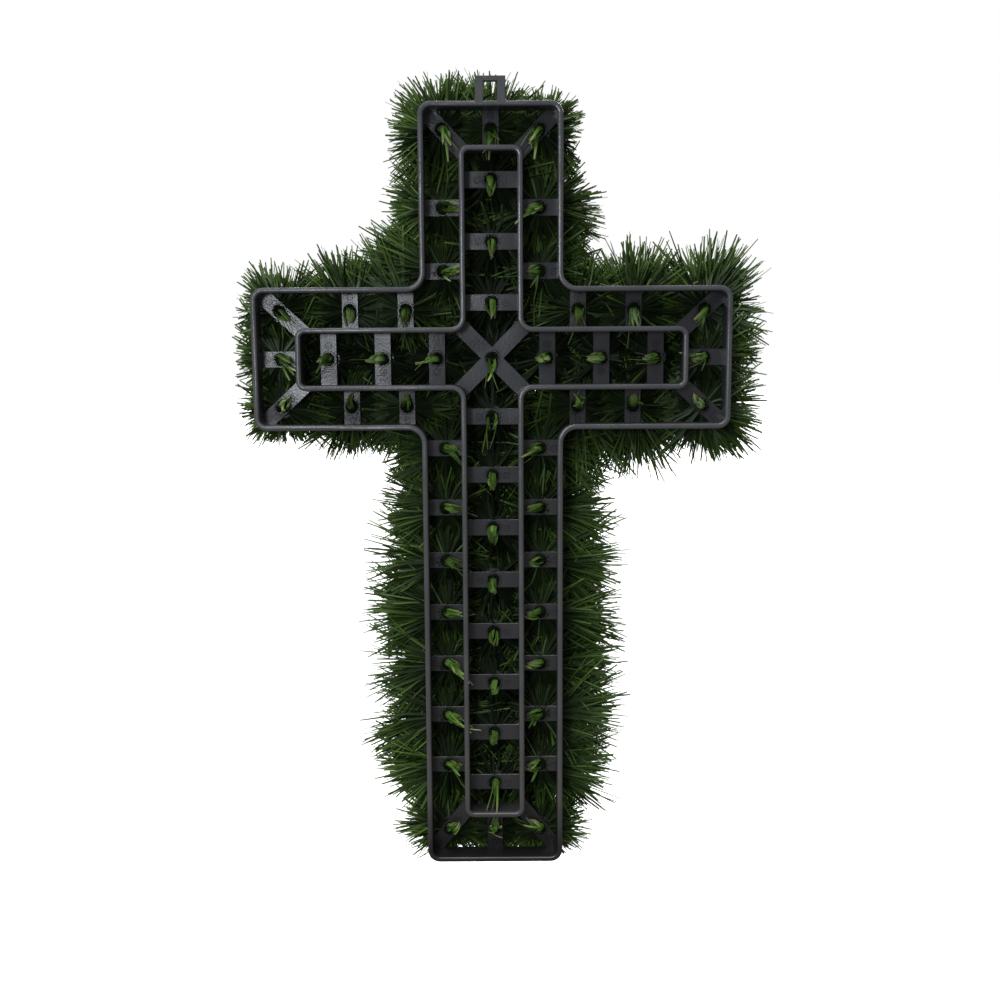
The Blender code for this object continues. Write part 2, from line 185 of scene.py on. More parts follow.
floor_mesh = bpy.data.meshes.new("floor")
half_floor = FLOOR_SIZE / 2
floor_z = packed_low.z - FLOOR_BELOW
floor_corners = [(x * half_floor, y * half_floor, floor_z) for x, y in ((-1, -1), (1, -1), (1, 1), (-1, 1))]
floor_mesh.from_pydata(floor_corners, [], [(0, 1, 2, 3)])
floor = bpy.data.objects.new("floor", floor_mesh)
floor.visible_diffuse = False
floor.visible_glossy = False
scene.collection.objects.link(floor)
print("floor at", round(floor_z, 3))

# %% [markdown]
# Node trees are easier to read as sums than as lists of links. A Wire is one output of a node. Adding,
# multiplying or comparing two wires makes the Math node, or for directions the Vector Math node, and hands
# back its output. The same class serves materials and Geometry Nodes.

# %% A wire that can be used in sums
def operator(operation, swapped=False):
    """A method that sends a wire, and what it is summed with, through one Math node."""
    def method(wire, other=None):
        first, second = (other, wire) if swapped else (wire, other)
        return wire.sum(operation, first, second)
    return method


class Wire:
    """One output socket of a node tree, with Python's operators."""

    def __init__(self, tree, socket):
        self.tree = tree
        self.socket = socket

    def sum(self, operation, first, second=None):
        vectors = [w for w in (first, second) if isinstance(w, Wire) and w.socket.type == "VECTOR"]
        kind = "ShaderNodeVectorMath" if vectors else "ShaderNodeMath"
        if vectors and operation == "MULTIPLY" and len(vectors) == 1:
            factor = second if vectors[0] is first else first
            return node(self.tree, kind, {"operation": "SCALE"}, {0: vectors[0], "Scale": factor})
        sockets = {k: w for k, w in enumerate((first, second)) if w is not None}
        return node(self.tree, kind, {"operation": operation}, sockets)

    __add__ = operator("ADD")
    __radd__ = operator("ADD", swapped=True)
    __sub__ = operator("SUBTRACT")
    __rsub__ = operator("SUBTRACT", swapped=True)
    __mul__ = operator("MULTIPLY")
    __rmul__ = operator("MULTIPLY", swapped=True)
    __truediv__ = operator("DIVIDE")
    __pow__ = operator("POWER")
    __gt__ = operator("GREATER_THAN")
    __lt__ = operator("LESS_THAN")
    least = operator("MINIMUM")
    most = operator("MAXIMUM")
    root = operator("SQRT")
    size = operator("ABSOLUTE")
    whole = operator("FLOOR")
    sine = operator("SINE")
    cosine = operator("COSINE")
    unit = operator("NORMALIZE")
    cross = operator("CROSS_PRODUCT")


def in_use(sockets, name):
    """A socket by its number, or the one in use with that name: a node keeps one for each type it serves."""
    if isinstance(name, int):
        return [s for s in sockets if s.enabled][name]
    return next(s for s in sockets if s.name == name and s.enabled)


def feed(made, sockets):
    """Sets the value, or links the Wire, of each of a node's sockets that is named."""
    for name, value in sockets.items():
        if isinstance(value, Wire):
            value.tree.links.new(value.socket, in_use(made.inputs, name))
        else:
            in_use(made.inputs, name).default_value = value


def node(tree, kind, settings=None, sockets=None, out=0):
    """Adds a node: its settings first, then what its sockets are fed. Gives back one output."""
    made = tree.nodes.new(kind)
    for name, value in (settings or {}).items():
        setattr(made, name, value)
    feed(made, sockets or {})
    return Wire(tree, in_use(made.outputs, out))


def new_material(name):
    """A material with a bare Principled surface, and its node tree."""
    material = bpy.data.materials.new(name)
    material.use_nodes = True
    return material, material.node_tree, material.node_tree.nodes["Principled BSDF"]


def mixed(tree, factor, first, second):
    """A colour between two others."""
    return node(tree, "ShaderNodeMix", {"data_type": "RGBA"}, {"Factor": factor, "A": first, "B": second})


def noise(tree, place, scale, detail):
    """How strong a noise is at each place, from 0 to 1."""
    return node(tree, "ShaderNodeTexNoise", None, {"Vector": place, "Scale": scale, "Detail": detail}, "Fac")


def rising(tree, value, start, full):
    """0 where the value is at start, 1 where it is at full, and even in between."""
    return node(tree, "ShaderNodeMapRange", None, {"Value": value, "From Min": start, "From Max": full})


print("helpers for nodes and materials ready")

# %% [markdown]
# The moulding is black polypropylene, straight from the tool: satin, a little uneven in its sheen, because
# its flat straps have warped slightly. Its rims are painted a lighter grey, partly as scuffing by handling
# and partly as painted light on the exposed rims, against the deeper straps and hollows. Fine dust has dried
# warm on it towards the foot. The foot's own end is painted nearly black as painted shade. The piece's mesh
# is in the cross's own frame, so Object coordinates give all of it: the height is Z, and the rims are where
# Y is least.

# %% Black plastic
CLEAN_BLACK = (0.024, 0.025, 0.032, 1)
DUSTY_BLACK = (0.040, 0.038, 0.036, 1)
# The two rim greys are partly scuffing and partly painted light on the exposed rims, which stand out of the
# shade of the hollows.
SCUFFED_AND_LIT_GREY = (0.064, 0.067, 0.076, 1)
SCUFFED_AND_LIT_DUSTY = (0.080, 0.075, 0.067, 1)
# Painted shade: the colour the foot's end is painted, as if it lay in its own shadow.
FOOT_PAINTED_SHADE = (0.007, 0.007, 0.008, 1)
DUST_FROM_HEIGHT = 0.55
DUST_FROM_CLOUD = 0.6
DUST_FREE = 0.30
WEAR_AND_LIGHT_EVERYWHERE = 0.45
RIM_WEAR_AND_LIGHT_DEPTH = 0.0045
RIM_WEAR_AND_LIGHT_FULL = 0.1
# Where the foot's painted shade starts, where it is full, and how much of it there is.
FOOT_SHADE_FROM = 0.060
FOOT_SHADE_FULL = 0.020
FOOT_SHADE_SHARE = 0.92
CLOUD_SCALE = 38.0
GRAIN_SCALE = 2600.0
PIT_SCALE = 620.0
WARP_SCALE = 17.0
WARP_FROM = (0.13, 0.4, 0.62)
GRAIN_HEIGHT = 0.2
PIT_HEIGHT = 0.6
WARP_HEIGHT = 18.0
BUMP_STRENGTH = 0.35
BUMP_DISTANCE = 0.0005
GLOSS = 0.13
GLOSS_CLOUD = 0.16
GLOSS_DUST = 0.18
PLASTIC_SPECULAR = 0.5


def black_plastic(foot_z, head_z, back_y):
    material, tree, surface = new_material("black_plastic")
    place = node(tree, "ShaderNodeTexCoord", out="Object")
    depth = node(tree, "ShaderNodeSeparateXYZ", None, {0: place}, "Y")
    height = node(tree, "ShaderNodeSeparateXYZ", None, {0: place}, "Z")
    cloud = noise(tree, place, CLOUD_SCALE, 4.0)
    low_down = rising(tree, height, head_z, foot_z)
    dust = (low_down * DUST_FROM_HEIGHT + cloud * DUST_FROM_CLOUD - DUST_FREE).most(0.0).least(1.0)
    # Painted light and scuffing: the surfaces nearest the open back, the rims, are painted lighter than the
    # deeper straps and hollows.
    wear_and_light = rising(tree, depth, back_y + RIM_WEAR_AND_LIGHT_DEPTH, back_y + RIM_WEAR_AND_LIGHT_DEPTH * RIM_WEAR_AND_LIGHT_FULL)
    clean = mixed(tree, dust, CLEAN_BLACK, DUSTY_BLACK)
    scuffed_and_lit = mixed(tree, dust, SCUFFED_AND_LIT_GREY, SCUFFED_AND_LIT_DUSTY)
    colour = mixed(tree, wear_and_light * (WEAR_AND_LIGHT_EVERYWHERE + cloud), clean, scuffed_and_lit)
    # Painted shade: the last few centimetres of the foot darken to nearly black.
    foot_shade = rising(tree, height, foot_z + FOOT_SHADE_FROM, foot_z + FOOT_SHADE_FULL)
    colour = mixed(tree, foot_shade * FOOT_SHADE_SHARE, colour, FOOT_PAINTED_SHADE)
    grain = noise(tree, place, GRAIN_SCALE, 2.0)
    pitted = noise(tree, place, PIT_SCALE, 2.0)
    warp = noise(tree, place + WARP_FROM, WARP_SCALE, 1.0)
    relief = grain * GRAIN_HEIGHT + pitted * PIT_HEIGHT + cloud - warp * WARP_HEIGHT
    bump = node(
        tree, "ShaderNodeBump", None,
        {"Height": relief, "Strength": BUMP_STRENGTH, "Distance": BUMP_DISTANCE},
    )
    feed(surface, {
        "Base Color": colour, "Roughness": GLOSS + cloud * GLOSS_CLOUD + dust * GLOSS_DUST,
        "Normal": bump, "Specular IOR Level": PLASTIC_SPECULAR,
    })
    return material


plastic = black_plastic(packed_low.z, packed_high.z, packed_low.y)
print("made", plastic.name)

# %% [markdown]
# These are the moulding's sizes, in metres, the same as in the part's own source. The cross is laid out
# from the middle of its crossing. Its origin is higher up, under the bar of the hanging eye.

# %% Sizes of the moulding
BAND_WIDTH = 0.106
ARM_REACH = 0.1785
HEAD_REACH = 0.1853
FOOT_REACH = 0.3947
FRAME_DEPTH = 0.021
WALL = 0.004
TIP_RADIUS = 0.0095
ARMPIT_RADIUS = 0.0105
SIDE_TRACK = 0.0256
HEAD_TRACK = 0.0270
ARM_TRACK = 0.0281
FOOT_TRACK = 0.0326
INNER_TIP_RADIUS = 0.0075
INNER_ARMPIT_RADIUS = 0.0070
STRAP_WIDTH = 0.0125
STRAP_THICKNESS = 0.0022
STRAP_SETBACK = 0.0003
STRAP_FRONT = FRAME_DEPTH - STRAP_SETBACK
STRAP_BACK = STRAP_FRONT - STRAP_THICKNESS
STRAP_ROOT = 0.0018
CORNER_INSET = 0.0004
HOLE_RADIUS = 0.0041
EYE_WIDTH = 0.0220
EYE_HEIGHT = 0.0170
EYE_THICKNESS = 0.0050
EYE_BAR = 0.0036
EYE_LEG = 0.0060
EYE_ROOT = 0.0020
HALF_ROOT_2 = math.sqrt(0.5)
CENTRE_Z = -(HEAD_REACH + EYE_HEIGHT - EYE_BAR)
BACK_Y = -EYE_THICKNESS / 2
HALF_BAND = BAND_WIDTH / 2
INNER_HALF_BAND = HALF_BAND - WALL - SIDE_TRACK
SIDE_LINE = HALF_BAND - WALL - SIDE_TRACK / 2
frame_low, frame_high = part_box("frame")
print("crossing at z", round(CENTRE_Z, 4), "and the packed frame from", frame_low[:], "to", frame_high[:])

# %% [markdown]
# Each limb of the cross carries a middle row of straps between its inner walls, two rows beside it, one
# strap across its end and one across each corner. A Station is one strap with its hole. The spacing is
# read off the photograph once, as the first and the last strap of a row, and the rest follow evenly.

# %% Where the straps and holes are
class Station:
    """A strap's hole, the strap's two ends, the way its tuft's tail is folded and the sides it borders."""

    def __init__(self, name, hole, start, end, tail, borders):
        self.name = name
        self.hole = hole
        self.start = start
        self.end = end
        self.tail = tail
        self.borders = borders


def spaced(first, last, count):
    return [first + (last - first) * k / (count - 1) for k in range(count)]


def limb_stations(name, outward, sides, reach, track, middle, side_row):
    """The stations of one limb. outward is its direction and sides names what lies to its left and right."""
    ox, oz = outward
    end_line = reach - WALL - track / 2
    inner_end = reach - WALL - track
    far_root = reach - WALL + STRAP_ROOT
    inner_root = INNER_HALF_BAND - WALL + STRAP_ROOT
    outer_root = HALF_BAND - WALL + STRAP_ROOT
    near_root = INNER_HALF_BAND - STRAP_ROOT
    corner_root = CORNER_INSET + STRAP_WIDTH / 2 * HALF_ROOT_2

    def at(along, across=0.0):
        return Vector((ox * along - oz * across, oz * along + ox * across))

    middle_tail = Vector((0, -1)) if ox == 0 else Vector((-1, 0))
    found = []
    for k, along in enumerate(middle, 1):
        ends = at(along, -inner_root), at(along, inner_root)
        found.append(Station(f"tuft_{name}_middle_{k}", at(along), *ends, middle_tail, ()))
    for sign, side in ((1, sides[0]), (-1, sides[1])):
        for k, along in enumerate(side_row, 1):
            ends = at(along, sign * near_root), at(along, sign * outer_root)
            hole = at(along, sign * SIDE_LINE)
            found.append(Station(f"tuft_{name}_{side}_{k}", hole, *ends, at(0, -sign), (f"{name}_{side}",)))
    ends = at(inner_end - STRAP_ROOT), at(far_root)
    found.append(Station(f"tuft_{name}_end", at(end_line), *ends, at(-1), (f"{name}_tip",)))
    for sign, side in ((1, sides[0]), (-1, sides[1])):
        start = at(inner_end - corner_root, sign * (INNER_HALF_BAND - corner_root))
        end = at(reach - corner_root, sign * (HALF_BAND - corner_root))
        borders = (f"{name}_{side}", f"{name}_tip")
        hole = at(end_line, sign * SIDE_LINE)
        found.append(Station(f"tuft_{name}_corner_{side}", hole, start, end, at(-1, -sign), borders))
    return found


HEAD_END = HEAD_REACH - HEAD_TRACK - 2 * WALL
ARM_END = ARM_REACH - ARM_TRACK - 2 * WALL
FOOT_END = FOOT_REACH - FOOT_TRACK - 2 * WALL
MIDDLE_FROM = 0.0418
MIDDLE_MARGIN = 0.0184
SIDE_FROM = 0.0650
ARM_SIDE_MARGIN = 0.0354
HEAD_SIDE_MARGIN = 0.0388
SHAFT_MIDDLE_FROM = (0.0442, 0.0890)
SHAFT_SIDE_FROM = (0.0683, 0.1143)
SHAFT_SIDE_MARGIN = 0.0332
ARM_ROWS = (spaced(MIDDLE_FROM, ARM_END - MIDDLE_MARGIN, 3), spaced(SIDE_FROM, ARM_END - ARM_SIDE_MARGIN, 2))
HEAD_ROWS = (
    spaced(MIDDLE_FROM, HEAD_END - MIDDLE_MARGIN, 3), spaced(SIDE_FROM, HEAD_END - HEAD_SIDE_MARGIN, 2),
)
SHAFT_ROWS = (
    [SHAFT_MIDDLE_FROM[0]] + spaced(SHAFT_MIDDLE_FROM[1], FOOT_END - MIDDLE_MARGIN, 7),
    [SHAFT_SIDE_FROM[0]] + spaced(SHAFT_SIDE_FROM[1], FOOT_END - SHAFT_SIDE_MARGIN, 6),
)
stations = [Station("tuft_crossing", Vector((0, 0)), None, None, Vector((0, -1)), ())]
stations += limb_stations("head", (0, 1), ("left", "right"), HEAD_REACH, HEAD_TRACK, *HEAD_ROWS)
stations += limb_stations("left_arm", (-1, 0), ("bottom", "top"), ARM_REACH, ARM_TRACK, *ARM_ROWS)
stations += limb_stations("right_arm", (1, 0), ("top", "bottom"), ARM_REACH, ARM_TRACK, *ARM_ROWS)
stations += limb_stations("shaft", (0, -1), ("right", "left"), FOOT_REACH, FOOT_TRACK, *SHAFT_ROWS)
print(len(stations), "straps with holes;", "all known:", all(s.name in frame["nodes"] for s in stations))

# %% [markdown]
# Every member of the moulding is a flat shape with thickness: the two walls are cross-shaped rings, the
# straps are bars with a hole. A box could be cut for each, but a 2D curve does it in one go: it is filled
# between its loops, extruded, and its bevel rounds every edge as the mould does. The bevel grows the
# outline, so the curve's offset takes the same amount off first. Straps and eye have nearly sharp edges: one
# narrow chamfer is enough, and it keeps their faces flat in the light.

# %% Flat members with rounded edges
EDGE_RADIUS = 0.0016
EDGE_STEPS = 2
STRAP_EDGE_RADIUS = 0.0003
EYE_EDGE_RADIUS = 0.0004
CHAMFER_STEPS = 0
ARC_STEPS = 9
MERGE_WITHIN = 1e-6


def corner_arc(corner, before, after, radius):
    """Points that round a square corner, from the side that comes in to the side that leaves."""
    x, z = corner
    into = ((before[0] > x) - (before[0] < x), (before[1] > z) - (before[1] < z))
    out = ((after[0] > x) - (after[0] < x), (after[1] > z) - (after[1] < z))
    middle = (x + radius * (into[0] + out[0]), z + radius * (into[1] + out[1]))
    points = []
    for k in range(ARC_STEPS + 1):
        turn = math.pi / 2 * k / ARC_STEPS
        c, s = math.cos(turn), math.sin(turn)
        points.append((
            middle[0] - radius * (out[0] * c + into[0] * s),
            middle[1] - radius * (out[1] * c + into[1] * s),
        ))
    return points


def cross_loop(h, head, arm, foot, tip, armpit):
    """The rounded outline of a cross, counterclockwise round its crossing."""
    corners = [
        ((arm, -h), tip), ((arm, h), tip), ((h, h), armpit), ((h, head), tip), ((-h, head), tip),
        ((-h, h), armpit), ((-arm, h), tip), ((-arm, -h), tip), ((-h, -h), armpit), ((-h, -foot), tip),
        ((h, -foot), tip), ((h, -h), armpit),
    ]
    points = []
    for k, (corner, radius) in enumerate(corners):
        points += corner_arc(corner, corners[k - 1][0], corners[(k + 1) % len(corners)][0], radius)
    return points


def circle(centre, radius, sides):
    turns = [2 * math.pi * k / sides for k in range(sides)]
    return [(centre[0] + radius * math.cos(t), centre[1] + radius * math.sin(t)) for t in turns]


def plate(name, loops, back, front, edge=EDGE_RADIUS, edge_steps=EDGE_STEPS):
    """A flat member between two depths, with rounded edges, as a plain mesh in the cross's frame."""
    curve = bpy.data.curves.new(name, "CURVE")
    curve.dimensions = "2D"
    curve.fill_mode = "BOTH"
    curve.extrude = (front - back) / 2 - edge
    curve.bevel_depth = edge
    curve.bevel_resolution = edge_steps
    curve.offset = -edge
    for loop in loops:
        spline = curve.splines.new("POLY")
        spline.points.add(len(loop) - 1)
        for point, (x, z) in zip(spline.points, loop):
            point.co = (x, z, 0, 1)
        spline.use_cyclic_u = True
    flat = bpy.data.objects.new(name, curve)
    scene.collection.objects.link(flat)
    bpy.context.view_layer.update()
    mesh = bpy.data.meshes.new_from_object(flat.evaluated_get(bpy.context.evaluated_depsgraph_get()))
    bpy.data.objects.remove(flat)
    upright = Matrix.Rotation(math.pi / 2, 4, "X")
    mesh.transform(Matrix.Translation((0, BACK_Y + (back + front) / 2, CENTRE_Z)) @ upright)
    shape = bmesh.new()
    shape.from_mesh(mesh)
    bmesh.ops.remove_doubles(shape, verts=shape.verts, dist=MERGE_WITHIN)
    bmesh.ops.recalc_face_normals(shape, faces=shape.faces)
    shape.to_mesh(mesh)
    shape.free()
    return mesh


def wall_mesh(name, h, head, arm, foot, tip, armpit):
    outside = cross_loop(h, head, arm, foot, tip, armpit)
    inside = cross_loop(h - WALL, head - WALL, arm - WALL, foot - WALL, tip - WALL, armpit + WALL)
    return plate(name, [outside, inside], 0, FRAME_DEPTH)


outer_wall = wall_mesh("outer_wall", HALF_BAND, HEAD_REACH, ARM_REACH, FOOT_REACH, TIP_RADIUS, ARMPIT_RADIUS)
inner_wall = wall_mesh(
    "inner_wall", INNER_HALF_BAND, HEAD_REACH - WALL - HEAD_TRACK, ARM_REACH - WALL - ARM_TRACK,
    FOOT_REACH - WALL - FOOT_TRACK, INNER_TIP_RADIUS, INNER_ARMPIT_RADIUS,
)
print("walls:", len(outer_wall.polygons), "and", len(inner_wall.polygons), "faces")

# %% [markdown]
# A strap is a bar with a round hole. At the crossing two bars make an X with one hole in the middle. The
# hanging eye is a small plate with a slot. It stands flush with the open back of the frame.

# %% Straps and eye
HOLE_SIDES = 28


def bar_loop(start, end, width):
    along = (end - start).normalized()
    across = Vector((-along.y, along.x)) * width / 2
    return [start + across, start - across, end - across, end + across]


def crossed_bars_loop(half_length, width):
    h = width / 2
    straight = [
        (half_length, -h), (half_length, h), (h, h), (h, half_length), (-h, half_length), (-h, h),
        (-half_length, h), (-half_length, -h), (-h, -h), (-h, -half_length), (h, -half_length), (h, -h),
    ]
    return [(HALF_ROOT_2 * (x - z), HALF_ROOT_2 * (x + z)) for x, z in straight]


def strap_mesh(station):
    if station.start is None:
        armpit_middle = INNER_HALF_BAND + INNER_ARMPIT_RADIUS * (1 - HALF_ROOT_2)
        outline = crossed_bars_loop(armpit_middle * math.sqrt(2) - STRAP_ROOT / 2, STRAP_WIDTH)
    else:
        outline = bar_loop(station.start, station.end, STRAP_WIDTH)
    hole = circle(station.hole, HOLE_RADIUS, HOLE_SIDES)
    return plate("strap", [outline, hole], STRAP_BACK, STRAP_FRONT, STRAP_EDGE_RADIUS, CHAMFER_STEPS)


def eye_mesh():
    foot, top = HEAD_REACH - EYE_ROOT, HEAD_REACH + EYE_HEIGHT
    half, slot = EYE_WIDTH / 2, EYE_WIDTH / 2 - EYE_LEG
    outline = [(-half, foot), (half, foot), (half, top), (-half, top)]
    low, high = HEAD_REACH - EYE_ROOT / 2, top - EYE_BAR
    slot_loop = [(-slot, low), (slot, low), (slot, high), (-slot, high)]
    return plate("eye", [outline, slot_loop], 0, EYE_THICKNESS, EYE_EDGE_RADIUS, CHAMFER_STEPS)


strap_meshes = [strap_mesh(station) for station in stations]
eye = eye_mesh()
print(len(strap_meshes), "straps,", sum(len(m.polygons) for m in strap_meshes), "faces")

# %% [markdown]
# The mould leaves its own small marks: a raised lip round each hole on the open side, a short collar on the
# needle side, and the round print of an ejector pin beside the hole. They are the same on every strap, so
# Geometry Nodes set one ring on each of a row of points. A print keeps clear of the wall, and on every
# third strap it lies on the other side of the hole.

# %% Rings on points
LIP_RADIUS = 0.0057
LIP_WIDTH = 0.0008
LIP_HEIGHT = 0.0007
COLLAR_RADIUS = 0.0073
COLLAR_WIDTH = 0.0013
COLLAR_HEIGHT = 0.0030
EJECTOR_RADIUS = 0.0023
EJECTOR_WIDTH = 0.0006
EJECTOR_HEIGHT = 0.0005
EJECTOR_MIDDLE = 0.0006
EJECTOR_SPACING = 0.0102
EJECTOR_MARGIN = 0.0035
RING_STEPS = 20
RING_SECTION_STEPS = 6


def new_tree(name, whole_numbers, lengths, vectors):
    """A node group with its inputs by name. Gives back the tree and a Wire for each input."""
    tree = bpy.data.node_groups.new(name, "GeometryNodeTree")
    kinds = {
        "Geometry": ("Geometry",), "Int": whole_numbers, "Float": lengths, "Vector": vectors,
        "Material": ("Material",),
    }
    for kind, labels in kinds.items():
        for label in labels:
            tree.interface.new_socket(label, in_out="INPUT", socket_type="NodeSocket" + kind)
    tree.interface.new_socket("Geometry", in_out="OUTPUT", socket_type="NodeSocketGeometry")
    given = tree.nodes.new("NodeGroupInput")
    return tree, {o.name: Wire(tree, o) for o in given.outputs if o.name}


def vector(tree, x, y, z):
    return node(tree, "ShaderNodeCombineXYZ", None, {"X": x, "Y": y, "Z": z})


def on_points(tree, points, shape, turn=(0, 0, 0)):
    """A copy of one shape, made real, on every point."""
    placed = node(
        tree, "GeometryNodeInstanceOnPoints", None, {"Points": points, "Instance": shape, "Rotation": turn},
    )
    return node(tree, "GeometryNodeRealizeInstances", None, {"Geometry": placed})


def give_out(tree, geometry, material):
    """Puts the material on the geometry and hands it to the tree's output."""
    done = node(tree, "GeometryNodeSetMaterial", None, {"Geometry": geometry, "Material": material})
    feed(tree.nodes.new("NodeGroupOutput"), {0: done})


def rings_tree():
    """A ring of a given radius and thickness on each vertex of the mesh that comes in."""
    tree, take = new_tree("rings", (), ("Radius", "Width", "Height"), ())
    round_curve = "GeometryNodeCurvePrimitiveCircle", {"mode": "RADIUS"}
    path = node(tree, *round_curve, {"Resolution": RING_STEPS, "Radius": take["Radius"]})
    section = node(tree, *round_curve, {"Resolution": RING_SECTION_STEPS, "Radius": 1.0})
    scale = vector(tree, take["Height"], take["Width"], 1.0)
    section = node(tree, "GeometryNodeTransform", None, {"Geometry": section, "Scale": scale})
    ring = node(tree, "GeometryNodeCurveToMesh", None, {"Curve": path, "Profile Curve": section})
    points = node(tree, "GeometryNodeMeshToPoints", None, {"Mesh": take["Geometry"]})
    give_out(tree, on_points(tree, points, ring, (math.pi / 2, 0, 0)), take["Material"])
    return tree


def grown(name, tree, points, values):
    """Runs a Geometry Nodes tree on loose points with named input values, and gives back a plain mesh."""
    seed_mesh = bpy.data.meshes.new(name)
    seed_mesh.from_pydata(points, [], [])
    carrier = bpy.data.objects.new(name, seed_mesh)
    scene.collection.objects.link(carrier)
    modifier = carrier.modifiers.new(name, "NODES")
    modifier.node_group = tree
    sockets = {item.name: item.identifier for item in tree.interface.items_tree if item.in_out == "INPUT"}
    for label, value in values.items():
        modifier[sockets[label]] = value
    bpy.context.view_layer.update()
    mesh = bpy.data.meshes.new_from_object(carrier.evaluated_get(bpy.context.evaluated_depsgraph_get()))
    carrier.modifiers.remove(modifier)
    bpy.data.objects.remove(carrier)
    return mesh


def in_row(point, depth):
    """A point of the layout, at a depth from the back of the frame, in the cross's own frame."""
    return (point[0], BACK_Y + depth, CENTRE_Z + point[1])


ring_tree = rings_tree()
hole_points = [in_row(s.hole, STRAP_BACK) for s in stations]
front_points = [in_row(s.hole, STRAP_FRONT + COLLAR_HEIGHT / 2) for s in stations]
lips = grown("lips", ring_tree, hole_points, {
    "Radius": LIP_RADIUS, "Width": LIP_WIDTH, "Height": LIP_HEIGHT, "Material": plastic,
})
collars = grown("collars", ring_tree, front_points, {
    "Radius": COLLAR_RADIUS, "Width": COLLAR_WIDTH, "Height": COLLAR_HEIGHT / 2, "Material": plastic,
})
ejector_points = []
for number, station in enumerate(stations[1:]):
    along = (station.end - station.start).normalized()
    room = min((station.hole - station.start).length, (station.end - station.hole).length)
    offset = min(EJECTOR_SPACING, room - EJECTOR_MARGIN) * (1 if number % 3 else -1)
    ejector_points.append(in_row(station.hole + along * offset, STRAP_BACK))
ejectors = grown("ejectors", ring_tree, ejector_points, {
    "Radius": EJECTOR_RADIUS, "Width": EJECTOR_WIDTH, "Height": EJECTOR_HEIGHT, "Material": plastic,
})
middles = grown("ejector_middles", ring_tree, ejector_points, {
    "Radius": EJECTOR_MIDDLE / 2, "Width": EJECTOR_MIDDLE, "Height": EJECTOR_HEIGHT, "Material": plastic,
})
print("lips:", len(lips.polygons), "faces; collars:", len(collars.polygons), "faces")
print("ejector prints:", len(ejectors.polygons), "faces")

# %% [markdown]
# The members are one moulding, so they become one mesh. An exact Boolean union melts every strap into the
# walls it crosses. It is slower than leaving them overlapped, but it leaves no hidden faces inside.

# %% One moulding
FLAT_ANGLE = 28


def joined(name, meshes):
    """One mesh from several, in their places."""
    shape = bmesh.new()
    for mesh in meshes:
        shape.from_mesh(mesh)
    whole = bpy.data.meshes.new(name)
    shape.to_mesh(whole)
    shape.free()
    return whole


def new_piece(name, mesh):
    piece = bpy.data.objects.new(name, mesh)
    scene.collection.objects.link(piece)
    return piece


def union(name, first, others):
    """The first mesh melted together with all the others."""
    members = bpy.data.collections.new("members")
    scene.collection.children.link(members)
    for mesh in others:
        members.objects.link(bpy.data.objects.new("member", mesh))
    whole = new_piece(name, first)
    melt = whole.modifiers.new("melt", "BOOLEAN")
    melt.operation = "UNION"
    melt.operand_type = "COLLECTION"
    melt.collection = members
    melt.solver = "EXACT"
    bpy.context.view_layer.update()
    mesh = bpy.data.meshes.new_from_object(whole.evaluated_get(bpy.context.evaluated_depsgraph_get()))
    whole.modifiers.remove(melt)
    bpy.data.objects.remove(whole)
    for member in list(members.objects):
        bpy.data.objects.remove(member)
    bpy.data.collections.remove(members)
    return mesh


def shade_flats_flat(mesh, angle):
    """Smooth shading, kept flat across edges sharper than the angle."""
    mesh.shade_smooth()
    mesh.set_sharp_from_angle(angle=math.radians(angle))


moulding = union("moulding", outer_wall, [inner_wall, eye, *strap_meshes])
moulding = joined("moulding", [moulding, lips, collars, ejectors, middles])
shade_flats_flat(moulding, FLAT_ANGLE)
moulding.materials.clear()
moulding.materials.append(plastic)
body = new_piece("frame_moulding", moulding)
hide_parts("frame")
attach(body, "root")
print("moulding:", len(moulding.polygons), "faces after", round(time.time() - started, 1), "s")

# %% [markdown]
# The needles are narrow strips cut from green PVC film. Each one keeps its own tone in an attribute called
# tone, and its distance from the hole in one called along, so one material serves them all. Towards the hole
# a strip is painted nearly black: that is painted shade for the depth of the tuft, which a few bright strips
# escape. Further out it is green, palest at the ends themselves, and here and there frosted with a greyish
# bloom, most of all far out on the arms. The tails get a lighter painted shade at the hole, and the middle
# tufts a darker copy of the film, as painted shade for the hollows they sit in.

# %% Needle film
FRESH_GREEN = (0.066, 0.136, 0.016, 1)
FROSTED_GREEN = (0.090, 0.130, 0.085, 1)
PALE_END = (0.115, 0.200, 0.045, 1)
BRIGHT_FROM = 0.93
BRIGHT_SHARE = 0.8
PATCH_SCALE = 20.0
BLOOM_FROM = 0.055
BLOOM_FULL = 0.100
BLOOM_TONE = 0.95
BLOOM_ON_FEW = 0.4
BLOOM_ON_PATCH = 0.5
BLOOM_PATCH = 0.53
BLOOM_PATCH_TONE = 0.35
END_FROM = 0.68
END_RISE = 2.6
END_LEAST = 0.30
GREEN_RISE = 1.8
SHADE_TONE = 0.95
SHADE_PATCH = 0.8
SHADE_LESS = 0.36
FILM_ROUGHNESS = 0.80
ROUGHNESS_ALONG = 0.30
ROUGHNESS_TONE = 0.1
FILM_SPECULAR = 0.18


